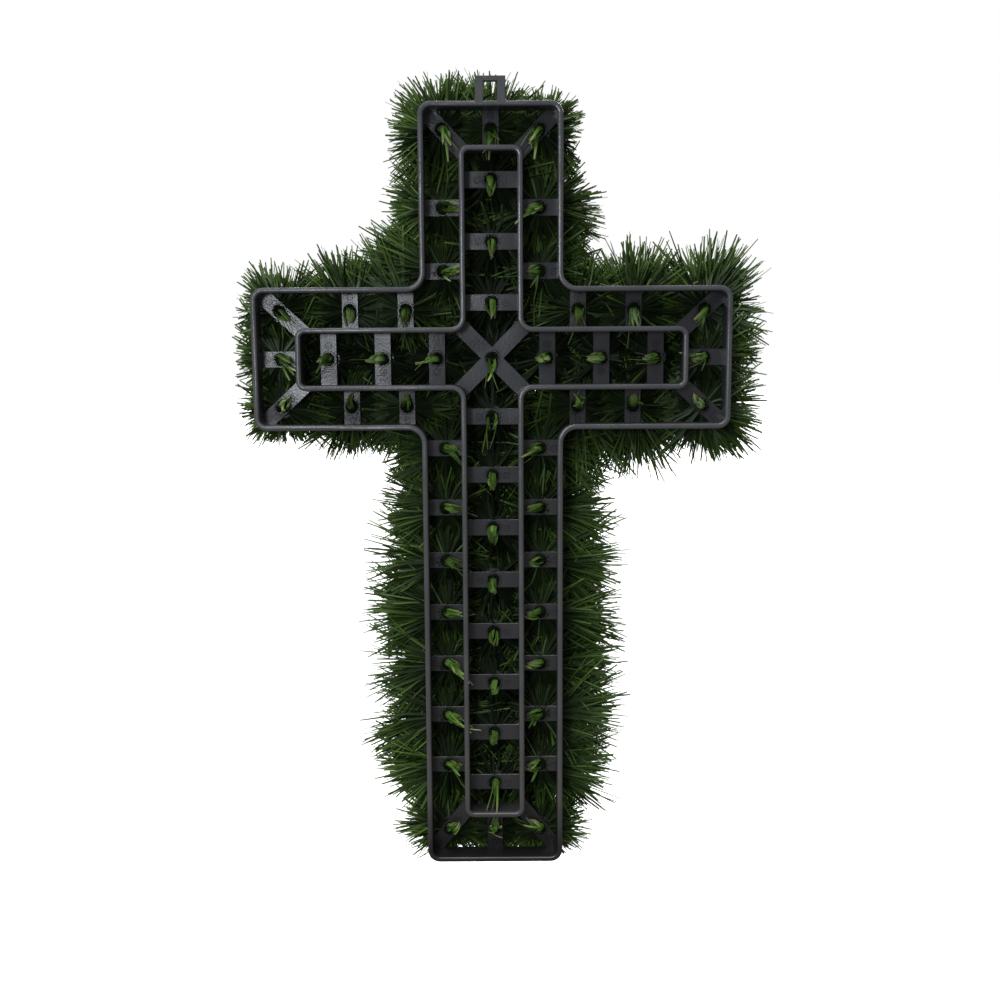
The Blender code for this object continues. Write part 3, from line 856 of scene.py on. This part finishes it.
def needle_film(name, dark, fresh, frosted, end, depth, hole_shade_until):
    """Cut film with painted shade at the hole: depth is how dark, the last argument where along it ends."""
    material, tree, surface = new_material(name)
    tone = node(tree, "ShaderNodeAttribute", {"attribute_name": "tone"}, None, "Fac")
    along = node(tree, "ShaderNodeAttribute", {"attribute_name": "along"}, None, "Fac")
    place = node(tree, "ShaderNodeTexCoord", out="Object")
    patch = noise(tree, place, PATCH_SCALE, 2.0)
    bright = (tone > BRIGHT_FROM) * BRIGHT_SHARE
    # Painted shade: towards the hole the strip darkens, down to 1 - depth, except the few bright strips.
    lit = ((along - hole_shade_until) * GREEN_RISE).most(1.0 - depth).most(bright).least(1.0)
    shade = ((tone * SHADE_TONE + patch * SHADE_PATCH - SHADE_LESS) * lit).most(0.0).least(1.0)
    green = mixed(tree, shade, dark, fresh)
    outwards = node(tree, "ShaderNodeSeparateXYZ", None, {0: place}, "X").size()
    outwards = rising(tree, outwards, BLOOM_FROM, BLOOM_FULL)
    on_patch = (patch > BLOOM_PATCH) * (tone > BLOOM_PATCH_TONE) * outwards * BLOOM_ON_PATCH
    green = mixed(tree, ((tone > BLOOM_TONE) * BLOOM_ON_FEW + on_patch).least(1.0), green, frosted)
    outer_end = (along - END_FROM).most(0.0) * END_RISE * (END_LEAST + tone * (1.0 - END_LEAST))
    green = mixed(tree, outer_end, green, end)
    roughness = FILM_ROUGHNESS - along * ROUGHNESS_ALONG + tone * ROUGHNESS_TONE
    feed(surface, {"Base Color": green, "Roughness": roughness, "Specular IOR Level": FILM_SPECULAR})
    return material


# The dark colours and the numbers beside them set the painted shade towards the hole; the tails' is lighter.
RIM_DARK_AND_SHADE = (0.005, 0.010, 0.003, 1)
RIM_HOLE_SHADE, RIM_HOLE_SHADE_UNTIL = 0.85, 0.28
# Painted shade for the middle tufts: a darker copy of the needle film, as the hollows between the walls are in
# shade.
MIDDLE_DARK_AND_SHADE = (0.003, 0.007, 0.002, 1)
MIDDLE_HOLE_SHADE, MIDDLE_HOLE_SHADE_UNTIL = 0.92, 0.52
TAIL_COLOURS = (
    (0.030, 0.070, 0.010, 1), (0.150, 0.290, 0.045, 1), (0.180, 0.250, 0.130, 1), (0.300, 0.280, 0.160, 1),
)
TAIL_HOLE_SHADE, TAIL_HOLE_SHADE_UNTIL = 0.5, 0.28
LIVE_COLOURS = FRESH_GREEN, FROSTED_GREEN, PALE_END
needle_green = needle_film("pine_needles", RIM_DARK_AND_SHADE, *LIVE_COLOURS, RIM_HOLE_SHADE, RIM_HOLE_SHADE_UNTIL)
needle_middle_shaded = needle_film("pine_needles_middle_shaded", MIDDLE_DARK_AND_SHADE, *LIVE_COLOURS, MIDDLE_HOLE_SHADE, MIDDLE_HOLE_SHADE_UNTIL)
tail_green = needle_film("pine_tails", *TAIL_COLOURS, TAIL_HOLE_SHADE, TAIL_HOLE_SHADE_UNTIL)
print("made", needle_green.name, needle_middle_shaded.name, "and", tail_green.name)

# %% [markdown]
# A tuft is about a thousand strips that leave one hole and fan out. One Geometry Nodes tree makes them: a
# thin three-sided prism is set on every point, made real, and each of its vertices is moved onto a curve
# from the hole to the strip's own tip. Strips come in locks that share a direction, as cut film does. The
# ground they cover is named in four reaches, and a tuft at the rim faces outwards.

# %% Random numbers and curves for the trees
SEED_STEP = 31.0


def curve_point(along, start, bend, end):
    """A point on the smooth curve from start to end that leaves towards bend."""
    back = 1.0 - along
    return start * (back * back) + bend * (along * back * 2.0) + end * (along * along)


def draw(tree, seed, salt, low, high, key):
    """A random number for each point or lock. Every use has its own salt."""
    return node(
        tree, "FunctionNodeRandomValue", {"data_type": "FLOAT"},
        {"Min": low, "Max": high, "Seed": seed * SEED_STEP + float(salt), "ID": key},
    )


def draw_vector(tree, seed, low, high):
    """A random direction for each point."""
    return node(
        tree, "FunctionNodeRandomValue", {"data_type": "FLOAT_VECTOR"},
        {"Min": low, "Max": high, "Seed": seed},
    )


def stored(tree, name, kind="FLOAT_VECTOR"):
    return node(tree, "GeometryNodeInputNamedAttribute", {"data_type": kind}, {"Name": name})


def keep(tree, geometry, name, value, kind="FLOAT_VECTOR"):
    return node(
        tree, "GeometryNodeStoreNamedAttribute", {"data_type": kind, "domain": "POINT"},
        {"Geometry": geometry, "Name": name, "Value": value},
    )


print("tree helpers ready")

# %% [markdown]
# The last steps are the same for needles and tails. Each strip's root, bend, tip and flat side are stored on
# its point. The prism's own height then says how far along the curve a vertex belongs.

# %% Strips along their curves
def strips_on_curves(tree, take, count, curve, tone, sides, segments, shape):
    """Strips on curves. curve holds root, bend, tip, flat and thick, and shape how a strip tapers."""
    taper_power, taper_share, thickness = shape
    cloud = node(tree, "GeometryNodePoints", None, {"Count": count})
    for name, value in curve.items():
        cloud = keep(tree, cloud, "n_" + name, value)
    cloud = keep(tree, cloud, "tone", tone, "FLOAT")
    prism = node(
        tree, "GeometryNodeMeshCylinder", {"fill_type": "NGON"},
        {"Vertices": sides, "Side Segments": segments, "Radius": 1.0, "Depth": 1.0},
    )
    strips = on_points(tree, cloud, prism)
    place = node(tree, "GeometryNodeInputPosition")
    parts = node(tree, "ShaderNodeSeparateXYZ", None, {0: place}, "X")
    x, y, z = (Wire(tree, parts.socket.node.outputs[axis]) for axis in "XYZ")
    strips = keep(tree, strips, "along", z + 0.5, "FLOAT")
    along = stored(tree, "along", "FLOAT")
    centre_line = curve_point(along, *(stored(tree, "n_" + name) for name in ("root", "bend", "tip")))
    half_width = take["Width"] * 0.5 * (1.0 - (along ** taper_power) * taper_share)
    half_width = half_width * (1.0 + take["Dark Width"] * (1.0 - stored(tree, "tone", "FLOAT")))
    across = stored(tree, "n_flat") * (x * half_width)
    across = across + stored(tree, "n_thick") * (y * half_width * thickness)
    strips = node(
        tree, "GeometryNodeSetPosition", None,
        {"Geometry": strips, "Position": centre_line + across + take["Hole"]},
    )
    for name in curve:
        strips = node(tree, "GeometryNodeRemoveAttribute", None, {"Geometry": strips, "Name": "n_" + name})
    give_out(tree, strips, take["Material"])


def with_sides(curve, aside):
    """Adds the strip's flat and thick directions, square to its way from root to tip."""
    way = (curve["tip"] - curve["root"]).unit()
    flat = way.cross(aside).unit()
    return {**curve, "flat": flat, "thick": way.cross(flat)}


print("strip maker ready")

# %% [markdown]
# Most strips of a tuft stand up and spread over its ground as a dome. The rest lie low and reach its edge:
# those are the ones that make the fringe round the frame. The ground is a rounded box, made by adding
# powers of the two ways to its sides: a power of 2 gives an ellipse, a high one gives square corners. Each
# lock reaches its own share of the way, and long locks are rare, so the fringe comes out shaggy.

# %% The needle tree
ROUNDNESS = 3.5
LOCK_LEAST = 0.66
LOCK_SPAN = 0.42
LOCK_SKEW = 1.5
STANDING = (0.02, 0.92)
STANDING_LOOSE = (-0.12, 0.08)
LYING = (0.80, 1.0)
LOW_HEIGHT = (0.08, 0.44)
LOW_HEIGHT_LOOSE = (-0.05, 0.12)
DOME_LEAST = 0.02
DOME_UNEVEN = (0.82, 1.0)
ROOT_DEPTH = -0.003
BEND_ASIDE = 0.40
BEND_RISE = 0.62
BEND_LIFT = 0.10
NEEDLE_SIDES = 3
NEEDLE_SEGMENTS = 2
NEEDLE_SHAPE = (8.0, 0.55, 0.3)
ASKEW_SALT = 10.0
NECK_SHARE = (0.1, 1.0)
BEND_UNEVEN = (0.80, 1.0)


def needle_tree():
    lengths = (
        "Height", "Sweep", "Width", "Neck", "Left", "Right", "Down", "Up", "Facing", "Focus", "Droop",
        "Low Share", "Bend", "Lock", "Lock Spread", "Dullness", "Dark Width",
    )
    tree, take = new_tree("needles", ("Needles", "Seed"), lengths, ("Hole",))
    order = node(tree, "GeometryNodeInputIndex")
    lock = (order / take["Lock"]).whole()

    def chance(low, high, salt, key=order):
        return draw(tree, take["Seed"], salt, low, high, key)

    swing = chance(-1.0, 1.0, 1, lock)
    turn = take["Facing"] + swing * (swing.size() ** take["Focus"]) * math.pi
    turn = turn + chance(-1.0, 1.0, 12) * take["Lock Spread"]
    turn = turn - turn.cosine() * take["Droop"]
    cos_turn, sin_turn = turn.cosine(), turn.sine()
    sideways = (cos_turn > 0.0) * take["Right"] + (cos_turn < 0.0) * take["Left"]
    upright = (sin_turn > 0.0) * take["Up"] + (sin_turn < 0.0) * take["Down"]
    to_side = (cos_turn.size() / sideways) ** ROUNDNESS
    to_end = (sin_turn.size() / upright) ** ROUNDNESS
    reach = (to_side + to_end) ** (-1.0 / ROUNDNESS)
    reach = reach.least(take["Sweep"])
    reach = reach * (LOCK_LEAST + (chance(0.0, 1.0, 16, lock) ** LOCK_SKEW) * LOCK_SPAN)

    is_low = chance(0.0, 1.0, 5, lock) < take["Low Share"]
    standing = (chance(*STANDING, 3, lock) + chance(*STANDING_LOOSE, 13)).most(0.0).root()
    lying = chance(*LYING, 14)
    spread = (standing + (lying - standing) * is_low) * reach
    dome = (1.0 - (spread / take["Sweep"]) ** 2.0).most(DOME_LEAST).root() * chance(*DOME_UNEVEN, 2)
    low_height = chance(*LOW_HEIGHT, 4, lock) + chance(*LOW_HEIGHT_LOOSE, 15)
    height = take["Height"] * (dome - (dome - low_height).most(0.0) * is_low)
    neck = take["Neck"] * chance(*NECK_SHARE, 6).root()
    lean = spread * BEND_ASIDE
    curve = {
        "root": vector(tree, cos_turn * neck, ROOT_DEPTH, sin_turn * neck),
        "bend": vector(
            tree, cos_turn * lean + chance(-1.0, 1.0, 7) * take["Bend"],
            (height * BEND_RISE + take["Height"] * BEND_LIFT) * chance(*BEND_UNEVEN, 8),
            sin_turn * lean + chance(-1.0, 1.0, 9) * take["Bend"],
        ),
        "tip": vector(tree, cos_turn * spread, height, sin_turn * spread),
    }
    askew = draw_vector(tree, take["Seed"] * SEED_STEP + ASKEW_SALT, (-1, -1, -1), (1, 1, 1))
    curve = with_sides(curve, askew)
    # A high power on tone darkens most strips of a tuft: the middle tufts use it as painted shade.
    tone = chance(0.0, 1.0, 11) ** take["Dullness"]
    make_up = NEEDLE_SIDES, NEEDLE_SEGMENTS, NEEDLE_SHAPE
    strips_on_curves(tree, take, take["Needles"], curve, tone, *make_up)
    return tree


needles = needle_tree()
print("needle tree:", len(needles.nodes), "nodes")

# %% [markdown]
# Towards a neighbour the strips may run into the neighbour's, as real ones do. Past the frame, each side has
# its own outline, read off the photograph's fringe at even steps: outwards from the crossing on the long
# sides, to the right or upwards on the ends. They are the same steps as in the part's source.

# %% How far each tuft reaches
NEEDLE_HEIGHT = 0.0515
RIM_SWEEP = 0.0720
MIDDLE_SWEEP = 0.0600
INWARD_REACH = 0.0520
OVERHANG = {
    "head_tip": (0.0240, 0.0300, 0.0070),
    "head_left": (0.0600, 0.0250, 0.0300),
    "head_right": (0.0360, 0.0340, 0.0130),
    "left_arm_top": (0.0520, 0.0300, 0.0180),
    "left_arm_bottom": (0.0330, 0.0220, 0.0150),
    "left_arm_tip": (0.0160, 0.0210, 0.0180),
    "right_arm_top": (0.0260, 0.0400, 0.0420),
    "right_arm_bottom": (0.0480, 0.0450, 0.0270),
    "right_arm_tip": (0.0360, 0.0320, 0.0370),
    "shaft_left": (0.0310, 0.0430, 0.0610, 0.0490, 0.0270),
    "shaft_right": (0.0420, 0.0500, 0.0580, 0.0530, 0.0170),
    "shaft_tip": (0.0090, 0.0090),
}
WAYS = {"Left": Vector((-1, 0)), "Right": Vector((1, 0)), "Down": Vector((0, -1)), "Up": Vector((0, 1))}
FACES = {"left": "Left", "right": "Right", "top": "Up", "bottom": "Down"}
TIPS = {"head_tip": "Up", "left_arm_tip": "Left", "right_arm_tip": "Right", "shaft_tip": "Down"}
LIMB_REACH = {"Up": HEAD_REACH, "Down": FOOT_REACH, "Left": ARM_REACH, "Right": ARM_REACH}


def overhang(border, point):
    """How far the needles stand out past the frame's side beside a point of the layout."""
    if border in TIPS:
        across = point.x if TIPS[border] in ("Up", "Down") else point.y
        share = (across + HALF_BAND) / BAND_WIDTH
    else:
        limb_way = TIPS[border.rsplit("_", 1)[0] + "_tip"]
        share = (point.dot(WAYS[limb_way]) - HALF_BAND) / (LIMB_REACH[limb_way] - HALF_BAND)
    steps = OVERHANG[border]
    step = min(max(share, 0.0), 1.0) * (len(steps) - 1)
    before = min(int(step), len(steps) - 2)
    return steps[before] + (steps[before + 1] - steps[before]) * (step - before)


def reaches(station):
    """How far the tuft's strips may go to each side of its hole, and the way it faces."""
    found = dict.fromkeys(WAYS, INWARD_REACH)
    outwards = Vector((0, 0))
    for border in station.borders:
        facing = TIPS.get(border) or FACES[border.rsplit("_", 1)[1]]
        side = LIMB_REACH[facing] if border in TIPS else HALF_BAND
        found[facing] = side + overhang(border, station.hole) - station.hole.dot(WAYS[facing])
        outwards += WAYS[facing]
    return found, outwards


print("crossing tuft:", reaches(stations[0]), "last tuft:", reaches(stations[-1]))

# %% [markdown]
# Behind each strap the bundle is folded over so that it can't slip out. What shows is a bud of a few broad,
# brighter strips bent to one side, and beside it some loose strips that were cut too long. A second tree
# makes both: strips on a curve, out of the hole and over.

# %% The tail tree
TAIL_ROOT = 0.004
TAIL_BELLY = 2.1
TAIL_SWING = 1.6
TAIL_BEND = 0.25
TAIL_TIP_SPREAD = 0.3
TAIL_TWIST = 0.4
TAIL_SIDES = 4
TAIL_SEGMENTS = 7
TAIL_SHAPE = (5.0, 0.55, 0.35)
STRAY_SEED_STEP = 17.0
STRAY_SALT = 4.0
STRAY_LOW = (-1, 0, -1)
STRAY_HIGH = (1, 0.3, 1)
NECK_UNEVEN = (0.3, 1.0)
RISE_UNEVEN = (0.75, 1.15)
LENGTH_UNEVEN = (0.70, 1.10)
DROP_UNEVEN = (-1.0, -0.3)
LIFT_UNEVEN = (-1.0, -0.7)


def tail_tree():
    lengths = ("Length", "Rise", "Tip Rise", "Width", "Dark Width", "Neck", "Fray", "Drop")
    tree, take = new_tree("tails", ("Strips", "Seed"), lengths, ("Fold", "Hole"))
    order = node(tree, "GeometryNodeInputIndex")

    def chance(low, high, salt):
        return draw(tree, take["Seed"], salt, low, high, order)

    turn = chance(0.0, 2 * math.pi, 1)
    ring = vector(tree, turn.cosine(), 0.0, turn.sine())
    neck = take["Neck"] * chance(*NECK_UNEVEN, 2)
    rise = take["Rise"] * chance(*RISE_UNEVEN, 3)
    stray = draw_vector(tree, take["Seed"] * STRAY_SEED_STEP + STRAY_SALT, STRAY_LOW, STRAY_HIGH)
    out = vector(tree, 0.0, rise * -1.0, 0.0)
    lift = vector(tree, 0.0, take["Tip Rise"] * chance(*LIFT_UNEVEN, 7), 0.0)
    length = take["Length"] * chance(*LENGTH_UNEVEN, 5)
    drop = vector(tree, 0.0, 0.0, take["Drop"] * chance(*DROP_UNEVEN, 6))
    curve = {
        "root": ring * neck + vector(tree, 0.0, TAIL_ROOT, 0.0),
        "bend": ring * (neck * TAIL_BELLY) + out * TAIL_SWING + take["Fold"] * (length * TAIL_BEND),
        "tip": (
            take["Fold"] * length + lift + drop + stray * take["Fray"] + ring * (neck * TAIL_TIP_SPREAD)
        ),
    }
    curve = with_sides(curve, ring + stray * TAIL_TWIST)
    make_up = TAIL_SIDES, TAIL_SEGMENTS, TAIL_SHAPE
    strips_on_curves(tree, take, take["Strips"], curve, chance(0.0, 1.0, 11), *make_up)
    return tree


tails = tail_tree()
print("tail tree:", len(tails.nodes), "nodes")

# %% [markdown]
# Now the two trees are run for each hole, and their meshes become one piece that stands for that tuft's
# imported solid. A tuft at the rim has more strips, as its fan is wider. Each tuft leans its own way a little,
# and those of the shaft droop. At the rim more of the loose strips show than in the middle.

# %% Fifty-six tufts
NECK_RADIUS = 0.0030
RIM_TUFT = {
    "Needles": 1180, "Sweep": RIM_SWEEP, "Focus": 0.45, "Low Share": 0.55, "Dullness": 1.1,
    "Material": needle_green,
}
# A middle tuft gets the shaded needle film and more dark strips: painted shade in the hollows between the
# walls.
MIDDLE_TUFT = {
    "Needles": 800, "Sweep": MIDDLE_SWEEP, "Focus": 0.0, "Low Share": 0.26, "Dullness": 2.6,
    "Material": needle_middle_shaded,
}
ALL_TUFTS = {
    "Height": NEEDLE_HEIGHT, "Width": 0.0019, "Dark Width": 0.75, "Neck": NECK_RADIUS, "Bend": 0.009,
    "Lock": 7.0, "Lock Spread": 0.28,
}
SHAFT_DROOP = 0.30
OTHER_DROOP = 0.08
BUD = {"Width": 0.0048, "Fray": 0.0020, "Drop": 0.001, "Tip Rise": 0.0035}
LOOSE = {"Width": 0.0023, "Fray": 0.0080, "Drop": 0.010}
TAILS = {"Dark Width": 0.0, "Neck": NECK_RADIUS, "Material": tail_green}
BUD_STRIPS = (5, 7, 9, 9)
BUD_LENGTH = (0.0075, 0.0115)
BUD_RISE = (0.0050, 0.0085)
LOOSE_AT_RIM = (0, 2, 3, 4, 6)
LOOSE_IN_MIDDLE = (0, 0, 2, 3)
LOOSE_LENGTH = (0.010, 0.020)
LOOSE_RISE = (0.008, 0.012)
OVER_THE_WALL = 0.0200
LOOSE_TIP_RISE = (0.005, 0.010, OVER_THE_WALL)
LEAN = 0.28
chance = random.Random(56)


def tuft_mesh(station, seed):
    """The three parts of one tuft: its needles, its bud and its loose strips."""
    from_here = [(0, 0, 0)]
    spread, outwards = reaches(station)
    facing = math.atan2(outwards.y, outwards.x) + chance.uniform(-LEAN, LEAN)
    kind = RIM_TUFT if station.borders else MIDDLE_TUFT
    head = grown("needles", needles, from_here, {
        **ALL_TUFTS, **kind, **spread, "Seed": seed, "Facing": facing,
        "Droop": SHAFT_DROOP if "shaft" in station.name else OTHER_DROOP,
        "Hole": in_row(station.hole, FRAME_DEPTH),
    })
    fold = station.tail.normalized()
    folded = {**TAILS, "Seed": seed, "Fold": (fold.x, 0, fold.y), "Hole": in_row(station.hole, STRAP_BACK)}
    bud = grown("bud", tails, from_here, {
        **BUD, **folded, "Strips": chance.choice(BUD_STRIPS),
        "Length": chance.uniform(*BUD_LENGTH), "Rise": chance.uniform(*BUD_RISE),
    })
    loose = grown("loose", tails, from_here, {
        **LOOSE, **folded, "Strips": chance.choice(LOOSE_AT_RIM if station.borders else LOOSE_IN_MIDDLE),
        "Length": chance.uniform(*LOOSE_LENGTH), "Rise": chance.uniform(*LOOSE_RISE),
        "Tip Rise": chance.choice(LOOSE_TIP_RISE),
    })
    return head, bud, loose


def joined_with_materials(name, meshes):
    """Joins meshes that carry their own materials and attributes."""
    parts = [new_piece(name, mesh) for mesh in meshes]
    with bpy.context.temp_override(active_object=parts[0], selected_editable_objects=parts):
        bpy.ops.object.join()
    return parts[0]


total = 0
for seed, station in enumerate(stations, 1):
    tuft = joined_with_materials(station.name + "_film", tuft_mesh(station, seed))
    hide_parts(station.name)
    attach(tuft, "root")
    total += len(tuft.data.polygons)
print("tufts:", total, "faces after", round(time.time() - started, 1), "s")

# %% [markdown]
# The floor gets its paint last. It is a pale matt grey-white with a trace of unevenness.

# %% Floor paint
PALE = (0.97, 0.97, 0.97, 1)
PALER = (0.985, 0.985, 0.985, 1)
FLOOR_ROUGHNESS = 0.9
MOTTLE_SCALE = 3.0
paint, paint_tree, paint_surface = new_material("pale_floor")
floor_place = node(paint_tree, "ShaderNodeTexCoord", out="Object")
mottle = noise(paint_tree, floor_place, MOTTLE_SCALE, 2.0)
paint_colour = mixed(paint_tree, mottle, PALE, PALER)
paint_tree.links.new(paint_colour.socket, paint_surface.inputs["Base Color"])
paint_surface.inputs["Roughness"].default_value = FLOOR_ROUGHNESS
floor.data.materials.append(paint)
print("floor painted")

# %% [markdown]
# The imported model's box is printed again at the end, with the time the script took. The finished
# pieces must stay in the imported model's box.

# %% Print the packed box
import json

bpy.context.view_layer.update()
print("packed ", [round(v, 4) for v in (*packed_low, *packed_high)])
print("ready after", round(time.time() - started, 1), "s")
